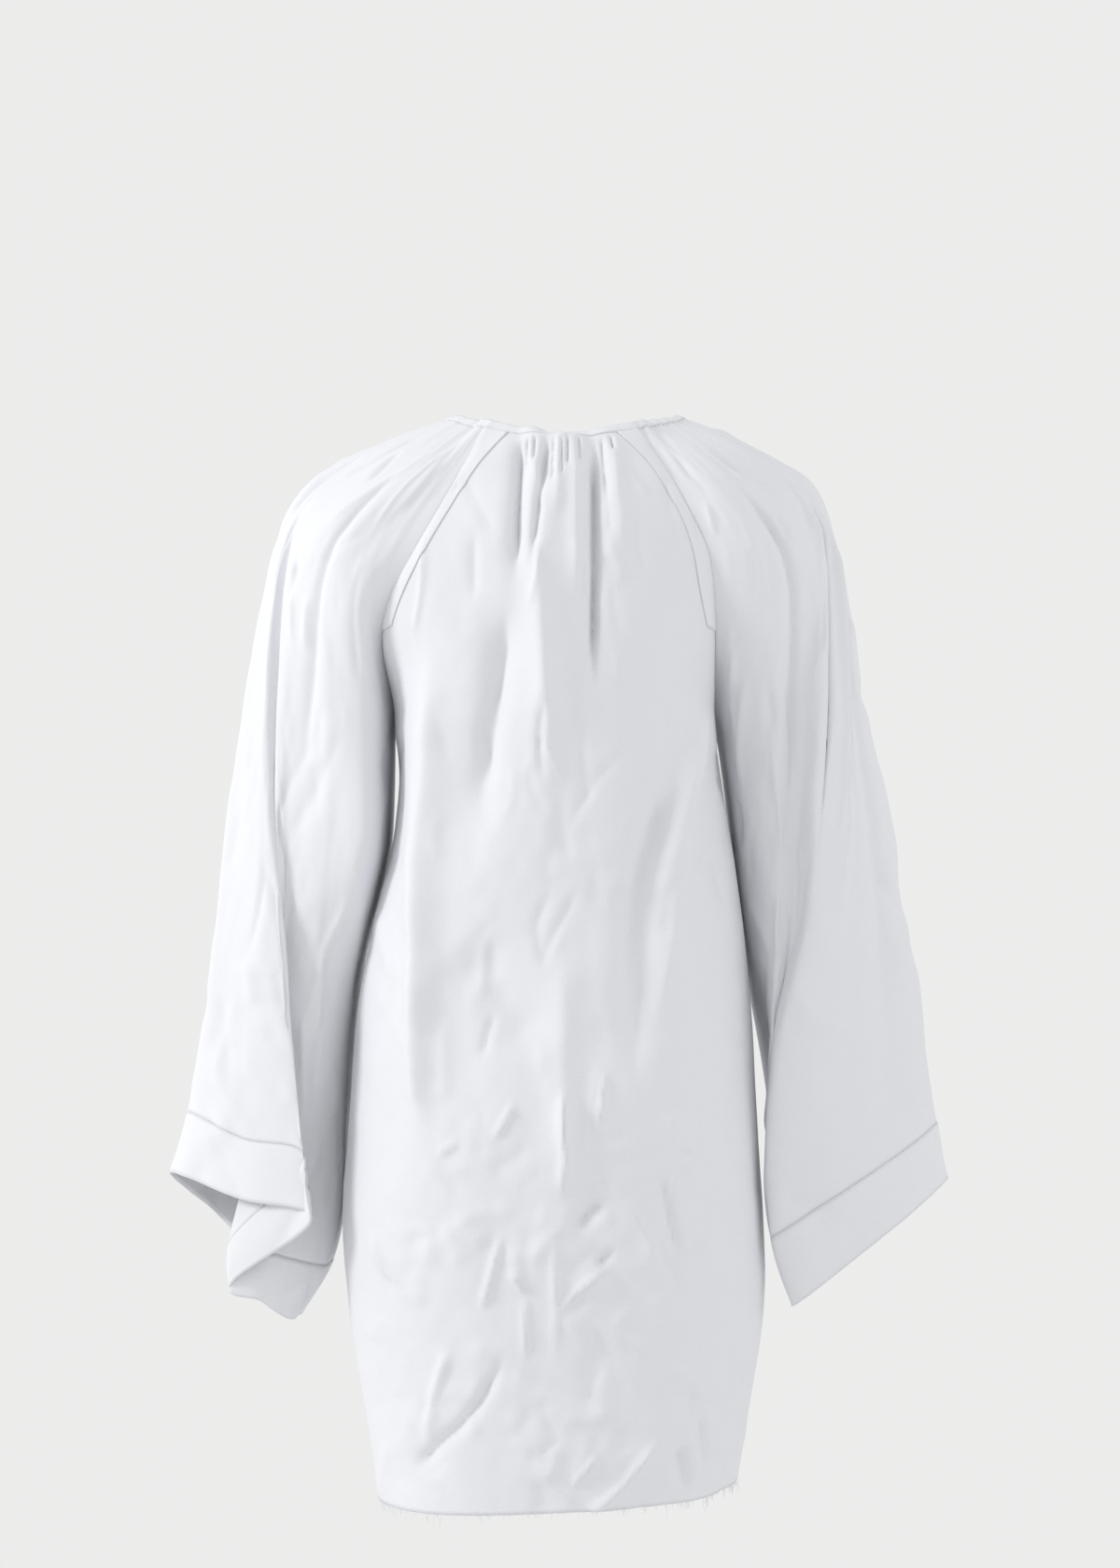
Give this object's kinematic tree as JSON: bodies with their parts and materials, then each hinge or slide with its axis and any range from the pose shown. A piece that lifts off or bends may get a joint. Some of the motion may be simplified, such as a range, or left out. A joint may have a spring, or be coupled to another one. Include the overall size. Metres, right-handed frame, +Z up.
{
  "type": "tunic top",
  "caption": "Loose raglan tunic top with wide bell sleeves, a gathered neck with a narrow binding and a raw frayed hem, held open as it is worn.",
  "frame": {"origin": "centre of the neck opening, level with the sides of the neck", "axes": "+Z up along the body, +Y out of the garment's back, +X towards its left sleeve"},
  "size_m": [0.6243, 0.2563, 0.875],
  "materials": {
    "cloth": "matt white plain weave with slubs",
    "cuff_cloth": "matt white plain weave, double layer",
    "trim_cloth": "matt white plain weave, stitched at both edges",
    "thread": "loose white thread",
    "label_cloth": "plain grey tape"
  },
  "bodies": {
    "root": {"back_panel": "cloth", "front_panel": "cloth", "left_sleeve": "cloth", "right_sleeve": "cloth", "left_cuff": "cuff_cloth", "right_cuff": "cuff_cloth", "left_back_band": "trim_cloth", "right_back_band": "trim_cloth", "left_front_band": "trim_cloth", "right_front_band": "trim_cloth", "neck_binding": "trim_cloth", "hem_fray": "thread", "neck_label": "label_cloth"}
  },
  "joints": []
}
